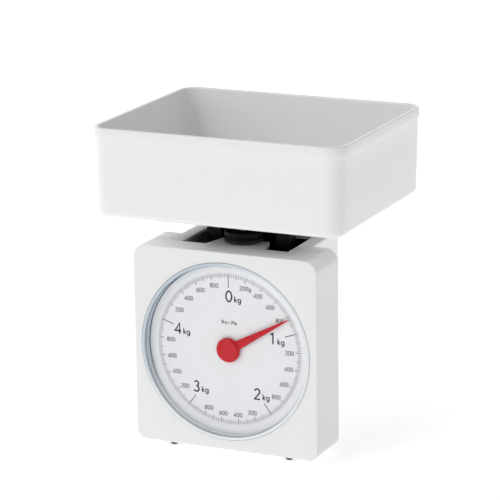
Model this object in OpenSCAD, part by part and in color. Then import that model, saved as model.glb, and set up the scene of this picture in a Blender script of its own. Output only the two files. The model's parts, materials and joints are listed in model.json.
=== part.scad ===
// Mechanical kitchen scale: a dial housing, a spring-hung carrier and a lift-off bowl.
// X is to the right, +Y to the back, +Z up. The origin is on the table, under the bowl's centre.

/* [Housing] */
// Width of the housing
body_w = 150; // [146:1:160]
// Height of the housing without its feet
body_h = 154; // [152:1:158]
// Depth of the wide front shell
front_d = 41.5; // [40:0.5:44]
// Depth of the whole housing
body_d = 100; // [98:1:104]
// Width of the narrow rear bulge
bulge_w = 109; // [108:1:116]
// Wall thickness of the housing
wall = 2.2; // [1.8:0.1:2.6]
// Corner radius of the housing, seen from the front
corner_r = 10; // [8:1:12]
// Distance from the front face back to the bowl's centre
setback = 67; // [66:0.5:68]
// Depth of the top strip that belongs to the front shell
strip_d = 20; // [19:0.5:21]
// Width of the opening in the top
slot_w = 87; // [84:1:90]
// Depth of the opening in the top
slot_d = 47; // [46:1:48]

/* [Dial] */
// Outer radius of the lens
lens_r = 70; // [69:0.5:71]
// Depth of the dial face behind the front face
dial_depth = 8; // [7.5:0.5:9]
// Length of the pointer from its centre
pointer_len = 59; // [55:1:62]
// Radius of the pointer's hub
hub_r = 9.5; // [8:0.5:11]
// Angle of the pointer clockwise from zero, at rest
rest_angle = 59.7; // [0:0.1:90]

/* [Mechanism] */
// Module of the rack and pinion
gear_m = 0.4; // [0.4:0.01:0.4]
// Number of teeth on the pinion
pinion_teeth = 10; // [10:1:10]
// Length of each lever, pivot to pin
lever_l = 33.5; // [33:0.5:34]
// Wire diameter of the main spring
spring_wire = 2.2; // [1.8:0.1:2.2]
// Mean coil radius of the main spring
spring_r = 7; // [6.5:0.5:7]
// Number of turns in the main spring
spring_turns = 21; // [15:1:21]

/* [Bowl] */
// Outer width of the bowl at the rim
bowl_w = 203; // [195:1:210]
// Outer depth of the bowl at the rim
bowl_d = 169; // [160:1:175]
// Height of the bowl
bowl_h = 66; // [60:1:70]
// Wall thickness of the bowl
bowl_wall = 2.4; // [2:0.1:3]
// Height of the bowl's underside above the table
bowl_z = 182.5; // [182:0.5:186]

/* [Hidden] */
$fn = 64;

white = [0.93, 0.93, 0.92];
black = [0.06, 0.06, 0.065];
steel = [0.72, 0.73, 0.75];
brass = [0.80, 0.65, 0.32];

// Housing planes
front_y = -setback;
seam_y = front_y + strip_d;
shell_y = front_y + front_d;
back_y = front_y + body_d;
foot_h = 4;
bottom_z = foot_h;
top_z = foot_h + body_h;
mid_z = bottom_z + body_h / 2;
inset_half = body_w / 2 - 5;
bulge_r = 12;
opening_back_y = seam_y + slot_d;
boss_r = 4;
boss_x = 62;
boss_z = [bottom_z + 13, top_z - 17];
pilot_r = 1.25;
clear_r = 1.7;
foot_x = 48;
foot_y = [front_y + 10, back_y - 12];

// Dial well, lens and pointer
well_r = lens_r - 2;
lens_t = 2;
lens_proud = 0.8;
dial_y = front_y + dial_depth;
dial_t = 1;
floor_t = 2;
floor_y = dial_y + dial_t;
floor_back_y = floor_y + floor_t;
hub_t = 3;
pointer_y = front_y + 4;
shaft_r = 1;
running = 0.05;
bush_r = 3;

// Chassis behind the dial
chassis_boss_y = floor_back_y + 4;
chassis_back_y = -39;
chassis_t = 2.5;
chassis_h = 30;
chassis_screw_z = 9;
chassis_half = 25;
chassis_screw_x = 21;

// Tongue, knob and hanger
tongue_half = 23;
tongue_t = 3;
tongue_back_y = -23.8;
knob_y = -31;
knob_z = top_z + 1.2;
knob_r = 15;
knob_h = 8;
hanger_r = 2.5;
eye_r = 2.6;

// Main spring, whose end loops hang in the plane of the knob's axis
wire_r = spring_wire / 2;
spring_z = 63.5;
spring_h = 56;
spring_y = knob_y + spring_r;
loop_r = 6;
lug_z = spring_z - 2 * loop_r - 1.4;
eye_z = spring_z + spring_h + 2 * loop_r + 1.4;

// Carrier
leg_in = 22.5;
leg_out = 34.5;
leg_front = -22;
leg_back = -15;
web_back = -11;
leg_z = 44;
web_z = 150;
plate_t = 3;
flange_t = 3;
plate_z = bowl_z - plate_t;
plate_w = 110;
plate_d = 90;
flange_back = 15;
crossbar_t = 4;
pin_y = -18.5;
pin_r = 1.5;
pin_z = [52, 130];
pin_end = 41;
pin_in = 4;
leg_screw_x = 26;
flange_screw = [24, 9];

// Rack and pinion, in mesh on the pinion's +X side
pitch_r = gear_m * pinion_teeth / 2;
tooth_pitch = PI * gear_m;
pressure = 20;
base_r = pitch_r * cos(pressure);
tip_r = pitch_r + gear_m;
root_r = pitch_r - 1.25 * gear_m;
backlash = 0.2;
pinion_y = -51;
pinion_w = 8;
rack_y = -50;
rack_w = 5;
rack_back = 7;
rack_tip = 0.25;
rack_root = 0.55;
rack_teeth = 19;
rack_top = 99;
rack_screw_z = leg_z + 9;
strip_t = 0.4;

// Levers and their bracket
pivot_y = pin_y + lever_l;
lever_drop = 4.2;
lever_tilt = asin(lever_drop / lever_l);
lever_t = 2;
lever_x = 36;
lever_h = 8;
bracket_y = 24.8;
bracket_t = 2;
bracket_x = 39;
bracket_w = 86;
rod_end = 43;

// Bowl
bowl_r = 14;
bowl_floor_r = 9;
bowl_taper = 1.5;
rim_h = 7.5;
rim_out = 0.8;
rib_t = 1.6;
rib_h = 2.5;

// ---------- shapes that repeat ----------

// A rectangle with round corners, centred
module round_rect(w, d, r) {
    square([w - 2 * r, d], center = true);
    square([w, d - 2 * r], center = true);
    for (x = [-1, 1], y = [-1, 1]) translate([x * (w / 2 - r), y * (d / 2 - r)]) circle(r);
}

// A cylinder along +Y that starts at y
module rod_y(r, x, y, z, length) {
    translate([x, y, z]) rotate([-90, 0, 0]) cylinder(r = r, h = length);
}

// A cylinder along +X that starts at x
module rod_x(r, x, y, z, length) {
    translate([x, y, z]) rotate([0, 90, 0]) cylinder(r = r, h = length);
}

// A box given by its low and high corners
module box(low, high) {
    translate(low) cube(high - low);
}

// A rounded slab seen from the front, between two Y planes
module front_slab(w, h, r, y0, y1) {
    translate([0, y1, mid_z]) rotate([90, 0, 0]) linear_extrude(y1 - y0) round_rect(w, h, r);
}

// A pan-head screw along +Y whose head is at the back
module screw_y(x, y_tip, y_head, z, r) {
    rod_y(r, x, y_tip, z, y_head - y_tip);
    difference() {
        rod_y(2 * r + 0.5, x, y_head, z, 1.8);
        for (a = [0, 90]) translate([x, y_head + 1.8, z]) rotate([0, a, 0])
            cube([0.8, 1.6, 3.2], center = true);
    }
}

// A pan-head screw along Z: dir 1 has its head on top, -1 below
module screw_z(x, y, z_tip, z_head, r, dir) {
    translate([x, y, min(z_tip, z_head)]) cylinder(r = r, h = abs(z_head - z_tip));
    difference() {
        translate([x, y, z_head + (dir > 0 ? 0 : -1.5)]) cylinder(r = 2 * r + 0.2, h = 1.5);
        for (a = [0, 90]) translate([x, y, z_head + dir * 1.5]) rotate([0, 0, a])
            cube([0.7, 2.8, 1.4], center = true);
    }
}

// ---------- housing ----------

module front_housing() {
    color(white) difference() {
        union() {
            difference() {
                front_slab(body_w, body_h, corner_r, front_y, shell_y);
                front_slab(body_w - 2 * wall, body_h - 2 * wall, corner_r - wall,
                    front_y + wall, shell_y + 1);
                box([-inset_half, seam_y, top_z - wall], [inset_half, shell_y + 1, top_z + 1]);
            }
            rod_y(well_r + wall, 0, front_y + 1, mid_z, floor_back_y - front_y - 1);
            box([-tongue_half, seam_y - 1, top_z - tongue_t], [tongue_half, tongue_back_y, top_z]);
            box([-boss_x, seam_y - 2, top_z - 9], [boss_x, seam_y, top_z - 1]);
            for (x = [-boss_x, boss_x], z = boss_z)
                rod_y(boss_r, x, front_y + 1, z, shell_y - wall - front_y - 1);
            for (x = [-chassis_screw_x, chassis_screw_x], z = [-chassis_screw_z, chassis_screw_z])
                rod_y(3.5, x, floor_back_y - 1, mid_z + z, 5);
        }
        rod_y(lens_r + 0.2, 0, front_y - 1, mid_z, lens_t - lens_proud + 1);
        rod_y(well_r, 0, front_y - 1, mid_z, floor_y - front_y + 1);
        rod_y(bush_r, 0, floor_y - 1, mid_z, floor_t + 2);
        translate([0, knob_y, top_z - tongue_t - 1]) cylinder(r = hanger_r + running, h = 9);
        for (x = [-boss_x, boss_x], z = boss_z) rod_y(pilot_r, x, shell_y - 14, z, 14);
        for (x = [-chassis_screw_x, chassis_screw_x], z = [-chassis_screw_z, chassis_screw_z])
            rod_y(pilot_r, x, floor_back_y - 0.5, mid_z + z, 5);
        for (x = [-foot_x, foot_x])
            translate([x, foot_y[0], bottom_z - 1]) cylinder(r = 2, h = wall + 2);
    }
}

// Plan of the bulge: square at the front, round corners at the back
module bulge_plan(w, y0, y1, r) {
    translate([-w / 2, y0]) square([w, y1 - y0 - r]);
    translate([-w / 2 + r, y0]) square([w - 2 * r, y1 - y0]);
    for (x = [-1, 1]) translate([x * (w / 2 - r), y1 - r]) circle(r);
}

module rear_housing() {
    lid_y = shell_y - wall;
    color(white) difference() {
        union() {
            front_slab(body_w - 2 * wall, body_h - 2 * wall, corner_r - wall, lid_y, shell_y);
            intersection() {
                front_slab(body_w, body_h, corner_r, seam_y, shell_y);
                box([-inset_half, seam_y, top_z - wall], [inset_half, shell_y, top_z]);
            }
            translate([0, 0, bottom_z]) linear_extrude(body_h)
                bulge_plan(bulge_w, shell_y, back_y, bulge_r);
        }
        difference() {
            translate([0, 0, bottom_z + wall]) linear_extrude(body_h - 2 * wall)
                bulge_plan(bulge_w - 2 * wall, lid_y - 1, back_y - wall, bulge_r - wall);
            for (x = [-30, 30], z = [36, 140]) rod_y(boss_r, x, bracket_y + bracket_t, z, 20);
        }
        box([-slot_w / 2, seam_y - 1, top_z - wall - 1], [slot_w / 2, opening_back_y, top_z + 1]);
        for (x = [-boss_x, boss_x], z = boss_z) rod_y(clear_r, x, lid_y - 1, z, wall + 2);
        for (x = [-30, 30], z = [36, 140]) rod_y(pilot_r, x, bracket_y, z, 5.5);
        for (x = [-foot_x, foot_x])
            translate([x, foot_y[1], bottom_z - 1]) cylinder(r = 2, h = wall + 2);
    }
}

module housing_screws() {
    color(steel) for (x = [-boss_x, boss_x], z = boss_z) screw_y(x, shell_y - 12, shell_y, z, pilot_r);
}

module feet() {
    color(black) for (x = [-foot_x, foot_x], y = foot_y) translate([x, y, 0]) {
        rotate_extrude() polygon([[0, 0], [2.2, 0], [2.8, 0.6], [3.4, foot_h], [2, foot_h],
            [2, foot_h + wall], [2.6, foot_h + wall], [1.6, foot_h + wall + 1.6], [0, foot_h + wall + 1.6]]);
    }
}

// ---------- dial ----------

module lens() {
    color([0.85, 0.9, 0.95, 0.35]) union() {
        rod_y(lens_r, 0, front_y - lens_proud, mid_z, lens_t);
        difference() {
            rod_y(well_r - 0.2, 0, front_y, mid_z, dial_depth);
            rod_y(well_r - 1.8, 0, front_y - 1, mid_z, dial_depth + 2);
        }
    }
}

module dial_plate() {
    color([0.95, 0.96, 0.97]) difference() {
        rod_y(well_r - 0.2, 0, dial_y, mid_z, dial_t);
        rod_y(bush_r + 0.5, 0, dial_y - 1, mid_z, dial_t + 2);
    }
}

module pointer() {
    color([0.82, 0.09, 0.09]) translate([0, 0, mid_z]) rotate([0, rest_angle, 0]) difference() {
        union() {
            rod_y(hub_r, 0, pointer_y, 0, hub_t - 0.4);
            rod_y(3, 0, pointer_y, 0, hub_t + 0.4);
            translate([0, pointer_y + hub_t - 0.4, 0]) rotate([90, 0, 0]) linear_extrude(1.2)
                polygon([[-3.6, 0], [-3.4, hub_r - 1], [-0.3, pointer_len],
                    [0.3, pointer_len], [3.4, hub_r - 1], [3.6, 0]]);
        }
        rod_y(shaft_r, 0, pointer_y + 1, 0, hub_t);
    }
}

module pointer_shaft() {
    color(brass) union() {
        rod_y(shaft_r, 0, pointer_y + 1, mid_z, chassis_back_y - pointer_y - 1 + 0.5);
        rod_y(1.6, 0, pinion_y - 1, mid_z, 1);
    }
}

// One point of an involute, at radius r, with the tooth's centre on the +X axis
function involute_turn(r) = sqrt(pow(r / base_r, 2) - 1) * 180 / PI - acos(base_r / r);
half_tooth = (tooth_pitch / 2 - backlash / 2) / 2 / pitch_r * 180 / PI;
function flank(r, side) =
    let (a = side * (half_tooth + involute_turn(pitch_r) - involute_turn(max(r, base_r))))
    [r * cos(a), r * sin(a)];

module pinion() {
    radii = [root_r - 0.2, base_r, pitch_r, (pitch_r + tip_r) / 2, tip_r];
    color(brass) translate([0, pinion_y, mid_z]) difference() {
        rotate([-90, 0, 0]) linear_extrude(pinion_w) union() {
            circle(root_r);
            for (i = [0:pinion_teeth - 1]) rotate(i * 360 / pinion_teeth)
                polygon(concat([for (r = radii) flank(r, -1)],
                    [for (k = [4:-1:0]) flank(radii[k], 1)]));
        }
        rod_y(shaft_r, 0, -1, 0, pinion_w + 2);
    }
}

module front_bush() {
    color(brass) difference() {
        union() {
            rod_y(bush_r, 0, floor_y, mid_z, pinion_y - 1.2 - floor_y);
            rod_y(bush_r + 1.5, 0, floor_back_y, mid_z, 1);
        }
        rod_y(shaft_r + running, 0, floor_y - 1, mid_z, 10);
    }
}

module chassis() {
    arm = 14;
    y0 = chassis_boss_y;
    y1 = chassis_back_y;
    color(black) difference() {
        translate([0, 0, mid_z - chassis_h / 2]) linear_extrude(chassis_h) union() {
            translate([-arm, y1 - chassis_t]) square([2 * arm, chassis_t]);
            for (s = [-1, 1]) {
                translate([s * (arm - chassis_t / 2) - chassis_t / 2, y0]) square([chassis_t, y1 - y0]);
                translate([min(s * arm, s * chassis_half), y0])
                    square([chassis_half - arm, chassis_t]);
            }
            translate([rack_back + 0.8, y1 - chassis_t - 5]) square([2, 5]);
        }
        rod_y(shaft_r + running, 0, y1 - chassis_t - 1, mid_z, chassis_t + 2);
        for (x = [-chassis_screw_x, chassis_screw_x], z = [-chassis_screw_z, chassis_screw_z])
            rod_y(clear_r, x, y0 - 1, mid_z + z, chassis_t + 2);
    }
}

module chassis_screws() {
    color(steel) for (x = [-chassis_screw_x, chassis_screw_x], z = [-chassis_screw_z, chassis_screw_z])
        screw_y(x, floor_back_y + 0.5, chassis_boss_y + chassis_t, mid_z + z, pilot_r);
}

// ---------- zero adjuster and spring ----------

module knob_washer() {
    color(steel) translate([0, knob_y, top_z]) difference() {
        cylinder(r = 7, h = knob_z - top_z);
        translate([0, 0, -1]) cylinder(r = 3, h = 4);
    }
}

module zero_knob() {
    ribs = 48;
    color(black) translate([0, knob_y, knob_z]) difference() {
        union() {
            cylinder(r = knob_r, h = 2.4);
            translate([0, 0, 2.4]) cylinder(r = knob_r - 0.8, h = knob_h - 2.4);
        }
        for (i = [0:ribs - 1]) rotate(i * 360 / ribs) translate([knob_r + 0.05, 0, -1])
            cylinder(r = 0.55, h = 4);
        translate([0, 0, -1]) cylinder(r = hanger_r + running, h = knob_h + 2);
    }
}

module hanger_screw() {
    color(steel) difference() {
        union() {
            translate([0, knob_y, eye_z + 5]) cylinder(r = hanger_r, h = knob_z + knob_h - eye_z - 5);
            box([-1.2, knob_y - 5, eye_z - 5], [1.2, knob_y + 5, eye_z + 9]);
        }
        rod_x(eye_r, -3, knob_y, eye_z, 6);
    }
}

// Path of the spring wire: a loop below, the coil, a loop above
steps = 14;
function coil_point(t) = [spring_r * cos(t - 90), spring_y + spring_r * sin(t - 90),
    spring_z + spring_h * t / (360 * spring_turns)];
function loop_point(z, a) = [loop_r * cos(a), knob_y, z + loop_r * sin(a)];
wire_path = concat(
    [for (a = [-200:20:80]) loop_point(spring_z - loop_r, a)],
    [for (i = [1:spring_turns * steps - 1]) coil_point(i * 360 / steps)],
    [for (a = [-80:20:200]) loop_point(spring_z + spring_h + loop_r, a)]);
function unit(v) = v / norm(v);
function heading(i) = unit(wire_path[min(i + 1, len(wire_path) - 1)] - wire_path[max(i - 1, 0)]);

// Each ring's first side is carried along the wire with the least twist
module main_spring() {
    sides = 6;
    n = len(wire_path);
    rings = [for (i = 0, v = [0, 1, 0]; i < n; i = i + 1,
        v = i < n ? unit(v - heading(i) * (heading(i) * v)) : v) [i, v]];
    points = [for (ring = rings) let (h = heading(ring[0]), u = ring[1], w = cross(h, u))
        for (k = [0:sides - 1]) wire_path[ring[0]]
            + wire_r * (u * cos(k * 360 / sides) + w * sin(k * 360 / sides))];
    walls = [for (i = [0:n - 2], k = [0:sides - 1]) let (m = (k + 1) % sides)
        [i * sides + k, i * sides + m, (i + 1) * sides + m, (i + 1) * sides + k]];
    color(steel) polyhedron(points, concat(walls, [[for (k = [sides - 1:-1:0]) k]],
        [[for (k = [0:sides - 1]) (n - 1) * sides + k]]));
}

// ---------- carrier, the part that moves with the load ----------

module carrier() {
    color(black) difference() {
        union() {
            for (s = [-1, 1]) {
                box([s > 0 ? leg_in : -leg_out, leg_front, leg_z], [s > 0 ? leg_out : -leg_in,
                    leg_back, plate_z]);
                translate([s * 31 + 1.5, web_back, plate_z - flange_t]) rotate([0, -90, 0])
                    linear_extrude(3) polygon([[0, 0], [0, 16], [-14, 0]]);
            }
            box([-leg_out, leg_back, web_z], [leg_out, web_back, plate_z]);
            box([-leg_out, leg_back, plate_z - flange_t], [leg_out, flange_back, plate_z]);
        }
        for (s = [-1, 1]) {
            for (z = pin_z) rod_x(pin_r, s > 0 ? leg_out - pin_in : -leg_out - 1, pin_y, z, pin_in + 1);
            translate([s * leg_screw_x, pin_y, leg_z - 1]) cylinder(r = pilot_r, h = 9);
            translate([s * leg_screw_x, pin_y, plate_z - 8]) cylinder(r = pilot_r, h = 9);
            translate([s * flange_screw[0], flange_screw[1], plate_z - 5])
                cylinder(r = pilot_r, h = 9);
        }
    }
}

module platform() {
    color(black) difference() {
        translate([0, 0, plate_z]) linear_extrude(plate_t) round_rect(plate_w, plate_d, 6);
        for (s = [-1, 1], p = [[leg_screw_x, pin_y], flange_screw])
            translate([s * p[0], p[1], plate_z]) {
            translate([0, 0, -1]) cylinder(r = clear_r, h = 6);
            translate([0, 0, plate_t - 1.6]) cylinder(r = 3, h = 4);
        }
    }
}

module platform_screws() {
    color(steel) for (s = [-1, 1], p = [[leg_screw_x, pin_y, 7], concat(flange_screw, [3])])
        screw_z(s * p[0], p[1], plate_z - p[2], plate_z + plate_t - 1.6, pilot_r, 1);
}

module crossbar() {
    z0 = leg_z - crossbar_t;
    color(steel) difference() {
        union() {
            box([-leg_out, leg_front, z0], [leg_out, leg_back, leg_z]);
            box([-9, rack_y - 2, z0], [11, leg_back, leg_z]);
            box([-1, knob_y - 4.5, leg_z - 0.5], [1, knob_y + 4.5, lug_z + 5]);
            box([rack_back + strip_t, rack_y, leg_z - 0.5],
                [rack_back + strip_t + 2, rack_y + rack_w, leg_z + 16]);
        }
        rod_x(eye_r, -3, knob_y, lug_z, 6);
        for (s = [-1, 1]) translate([s * leg_screw_x, pin_y, z0 - 1])
            cylinder(r = clear_r, h = crossbar_t + 2);
        rod_x(pilot_r, rack_back, rack_y + rack_w / 2, rack_screw_z, 6);
    }
}

module crossbar_screws() {
    color(steel) for (s = [-1, 1])
        screw_z(s * leg_screw_x, pin_y, leg_z + 7, leg_z - crossbar_t, pilot_r, -1);
}

module carrier_pins() {
    color(steel) for (s = [-1, 1], z = pin_z) {
        rod_x(pin_r, s > 0 ? leg_out - pin_in : -pin_end, pin_y, z, pin_end - leg_out + pin_in);
        rod_x(2.6, s > 0 ? pin_end - 1.5 : -pin_end, pin_y, z, 1.5);
    }
}

module rack() {
    half = (tooth_pitch / 2 - backlash / 2) / 2;
    slope = tan(pressure);
    foot = rack_root + 0.1;
    color(brass) difference() {
        union() {
            translate([0, rack_y + rack_w, mid_z]) rotate([90, 0, 0]) linear_extrude(rack_w) union() {
                translate([pitch_r + rack_root, leg_z - mid_z]) square([rack_back - pitch_r - rack_root,
                    rack_top - leg_z]);
                for (i = [0:rack_teeth - 1]) translate([pitch_r, (i - 6.5) * tooth_pitch])
                    polygon([[foot, -half - foot * slope], [foot, half + foot * slope],
                        [-rack_tip, half - rack_tip * slope], [-rack_tip, -half + rack_tip * slope]]);
            }
        }
        rod_x(pilot_r, 0, rack_y + rack_w / 2, rack_screw_z, rack_back + 1);
    }
}

module rack_screw() {
    head_x = pitch_r + rack_root;
    nut_x = rack_back + strip_t + 2;
    screw_y0 = rack_y + rack_w / 2;
    color(steel) {
        rod_x(pilot_r, head_x, screw_y0, rack_screw_z, nut_x - head_x);
        rod_x(2.4, head_x - 1.2, screw_y0, rack_screw_z, 1.2);
        rod_x(2.4, nut_x, screw_y0, rack_screw_z, 1.4, $fn = 6);
    }
}

module rack_spring() {
    color(steel) difference() {
        box([rack_back, rack_y + 0.5, leg_z], [rack_back + strip_t, rack_y + rack_w - 0.5, leg_z + 24]);
        rod_x(pilot_r, rack_back - 1, rack_y + rack_w / 2, rack_screw_z, 3);
    }
}

// ---------- levers ----------

module lever_bracket() {
    y1 = bracket_y + bracket_t;
    color(black) difference() {
        union() {
            box([-bracket_w / 2, bracket_y, 30], [bracket_w / 2, y1, 148]);
            for (s = [-1, 1], z = pin_z) box([s > 0 ? bracket_x : -bracket_x - 2, pivot_y - 4,
                z - lever_drop - 5], [s > 0 ? bracket_x + 2 : -bracket_x, bracket_y + 1,
                z - lever_drop + 5]);
        }
        box([-24, bracket_y - 1, 60], [24, y1 + 1, 114]);
        for (s = [-1, 1], z = pin_z)
            rod_x(pin_r, s > 0 ? bracket_x - 1 : -bracket_x - 3, pivot_y, z - lever_drop, 4);
        for (x = [-30, 30], z = [36, 140]) rod_y(clear_r, x, bracket_y - 1, z, bracket_t + 2);
    }
}

module bracket_screws() {
    color(steel) for (x = [-30, 30], z = [36, 140]) mirror([0, 1, 0])
        screw_y(x, -bracket_y - 5, -bracket_y, z, pilot_r);
}

module pivot_rod(z) {
    color(steel) {
        rod_x(pin_r, -rod_end, pivot_y, z - lever_drop, 2 * rod_end);
        rod_x(2.6, -rod_end - 1, pivot_y, z - lever_drop, 1.5);
    }
}

module upper_pivot_rod() {
    pivot_rod(pin_z[1]);
}

module lower_pivot_rod() {
    pivot_rod(pin_z[0]);
}

module rod_clips() {
    color(steel) for (z = pin_z) difference() {
        rod_x(3.2, bracket_x + 2, pivot_y, z - lever_drop, 0.6);
        rod_x(pin_r, bracket_x, pivot_y, z - lever_drop, 4);
        box([bracket_x + 1, pivot_y - 0.9, z - lever_drop], [bracket_x + 4, pivot_y + 0.9,
            z - lever_drop + 5]);
    }
}

// A pressed steel lever: two arms joined by a web, tilted up to the carrier's pins
module lever(z) {
    slot_run = 0.9;
    color(steel) translate([0, pivot_y, z - lever_drop]) rotate([-lever_tilt, 0, 0]) difference() {
        union() {
            for (s = [-1, 1]) translate([s > 0 ? lever_x : -lever_x - lever_t, 0, 0])
                rotate([90, 0, 90]) linear_extrude(lever_t) union() {
                    translate([-lever_l, -lever_h / 2]) square([lever_l, lever_h]);
                    circle(lever_h / 2);
                    translate([-lever_l, 0]) circle(lever_h / 2);
                }
            box([-lever_x - 0.5, -24, -lever_h / 2], [lever_x + 0.5, -10, -lever_h / 2 + 1.5]);
        }
        rod_x(pin_r + running, -60, 0, 0, 120);
        for (s = [-slot_run, slot_run]) rod_x(pin_r + 0.15, -60, -lever_l + s, 0, 120);
        box([-60, -lever_l - slot_run, -pin_r - 0.15], [60, -lever_l + slot_run, pin_r + 0.15]);
    }
}

module upper_lever() {
    lever(pin_z[1]);
}

module lower_lever() {
    lever(pin_z[0]);
}

// ---------- bowl ----------

// A rounded block that widens upwards from a soft bottom edge
module bowl_block(w, d, h, r, edge) {
    hull() {
        for (x = [-1, 1], y = [-1, 1]) {
            translate([x * (w / 2 - r - bowl_taper), y * (d / 2 - r - bowl_taper), edge])
                rotate_extrude($fn = 48) intersection() {
                    translate([r - edge, 0]) circle(edge, $fn = 48);
                    translate([0, -edge]) square([r + 1, edge + 0.01]);
                }
            translate([x * (w / 2 - r), y * (d / 2 - r), h - 0.01]) cylinder(r = r, h = 0.01, $fn = 48);
        }
    }
}

module bowl() {
    color(white) difference() {
        union() {
            translate([0, 0, bowl_z])
                bowl_block(bowl_w - 2 * rim_out, bowl_d - 2 * rim_out, bowl_h, bowl_r, bowl_floor_r);
            translate([0, 0, bowl_z + bowl_h - rim_h]) linear_extrude(rim_h)
                round_rect(bowl_w, bowl_d, bowl_r + rim_out);
            translate([0, 0, bowl_z - rib_h]) linear_extrude(rib_h + 1) difference() {
                round_rect(plate_w + 1 + 2 * rib_t, plate_d + 1 + 2 * rib_t, 6.5 + rib_t);
                round_rect(plate_w + 1, plate_d + 1, 6.5);
            }
        }
        translate([0, 0, bowl_z + bowl_wall]) bowl_block(bowl_w - 2 * rim_out - 2 * bowl_wall,
            bowl_d - 2 * rim_out - 2 * bowl_wall, bowl_h, bowl_r - bowl_wall, bowl_floor_r - bowl_wall);
    }
}

front_housing();
rear_housing();
housing_screws();
feet();
lens();
dial_plate();
pointer();
pointer_shaft();
pinion();
front_bush();
chassis();
chassis_screws();
knob_washer();
zero_knob();
hanger_screw();
main_spring();
carrier();
crossbar();
crossbar_screws();
carrier_pins();
rack();
rack_screw();
rack_spring();
platform();
platform_screws();
lever_bracket();
bracket_screws();
upper_pivot_rod();
lower_pivot_rod();
rod_clips();
upper_lever();
lower_lever();
bowl();
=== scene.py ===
# Looks of a mechanical kitchen scale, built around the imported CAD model. Sizes are in millimetres in
# the part's frame: +X right, +Y back, +Z up, origin on the table. Camera, lamps and names that end in
# _M are in metres.
import json
import math

import bmesh
import bpy
from mathutils import Matrix, Vector


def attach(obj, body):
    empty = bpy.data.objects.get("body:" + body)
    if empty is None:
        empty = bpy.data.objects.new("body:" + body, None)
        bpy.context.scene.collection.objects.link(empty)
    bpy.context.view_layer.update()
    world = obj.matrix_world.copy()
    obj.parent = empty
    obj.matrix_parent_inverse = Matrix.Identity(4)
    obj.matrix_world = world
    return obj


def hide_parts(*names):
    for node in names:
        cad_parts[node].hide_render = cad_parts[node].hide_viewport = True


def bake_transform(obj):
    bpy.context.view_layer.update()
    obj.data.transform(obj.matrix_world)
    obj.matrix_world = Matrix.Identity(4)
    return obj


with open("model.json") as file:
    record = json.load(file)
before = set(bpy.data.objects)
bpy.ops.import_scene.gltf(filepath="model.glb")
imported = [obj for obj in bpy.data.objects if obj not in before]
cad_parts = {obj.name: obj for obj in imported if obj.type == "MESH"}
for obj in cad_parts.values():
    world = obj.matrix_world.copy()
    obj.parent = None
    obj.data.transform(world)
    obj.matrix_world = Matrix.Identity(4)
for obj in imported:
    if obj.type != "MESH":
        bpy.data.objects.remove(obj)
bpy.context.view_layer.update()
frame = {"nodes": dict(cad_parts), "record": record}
MM = 0.001
scene = bpy.context.scene

# ---------------------------------------------------------------- mesh helpers


def new_object(name, verts, faces, body=None, slot=None, replaces=(), angle=35.0):
    """A mesh piece from points in millimetres, with clean normals, that rides on a body."""
    mesh = bpy.data.meshes.new(name)
    mesh.from_pydata([(x * MM, y * MM, z * MM) for x, y, z in verts], [], faces)
    bm = bmesh.new()
    bm.from_mesh(mesh)
    bmesh.ops.remove_doubles(bm, verts=bm.verts, dist=1e-7)
    bmesh.ops.recalc_face_normals(bm, faces=bm.faces)
    bm.to_mesh(mesh)
    bm.free()
    obj = bpy.data.objects.new(name, mesh)
    scene.collection.objects.link(obj)
    shade(obj, angle)
    if body:
        place(obj, body, replaces)
    return obj


def place(obj, body, replaces=()):
    """The piece rides on a body and stands in for the CAD nodes that it replaces."""
    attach(obj, body)
    if replaces:
        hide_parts(*replaces)


def shade(obj, angle=35.0):
    mesh = obj.data
    mesh.polygons.foreach_set("use_smooth", [True] * len(mesh.polygons))
    mesh.set_sharp_from_angle(angle=math.radians(angle))


def apply_modifiers(obj):
    depsgraph = bpy.context.evaluated_depsgraph_get()
    mesh = bpy.data.meshes.new_from_object(obj.evaluated_get(depsgraph))
    obj.modifiers.clear()
    obj.data = mesh


def bevel(obj, width, segments=3, angle=40.0):
    """Rounds the edges sharper than angle, with width in millimetres."""
    mod = obj.modifiers.new("bevel", "BEVEL")
    mod.width = width * MM
    mod.segments = segments
    mod.limit_method = "ANGLE"
    mod.angle_limit = math.radians(angle)
    mod.use_clamp_overlap = True
    mod.miter_outer = "MITER_ARC"
    apply_modifiers(obj)
    shade(obj)


def boolean(obj, other, operation):
    """Joins other to the piece or cuts it out, and removes other."""
    mod = obj.modifiers.new("boolean", "BOOLEAN")
    mod.operation = operation
    mod.solver = "EXACT"
    mod.object = other
    apply_modifiers(obj)
    bpy.data.objects.remove(other)


def loft(rings, closed=False, caps=True):
    """Points and faces of a skin through rings of equal length."""
    n = len(rings[0])
    verts = [p for ring in rings for p in ring]
    faces = []
    last = len(rings) if closed else len(rings) - 1
    for j in range(last):
        a, b = j * n, ((j + 1) % len(rings)) * n
        faces += [(a + i, a + (i + 1) % n, b + (i + 1) % n, b + i) for i in range(n)]
    if caps and not closed:
        faces.append(tuple(range(n))[::-1])
        faces.append(tuple((len(rings) - 1) * n + i for i in range(n)))
    return verts, faces


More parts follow.
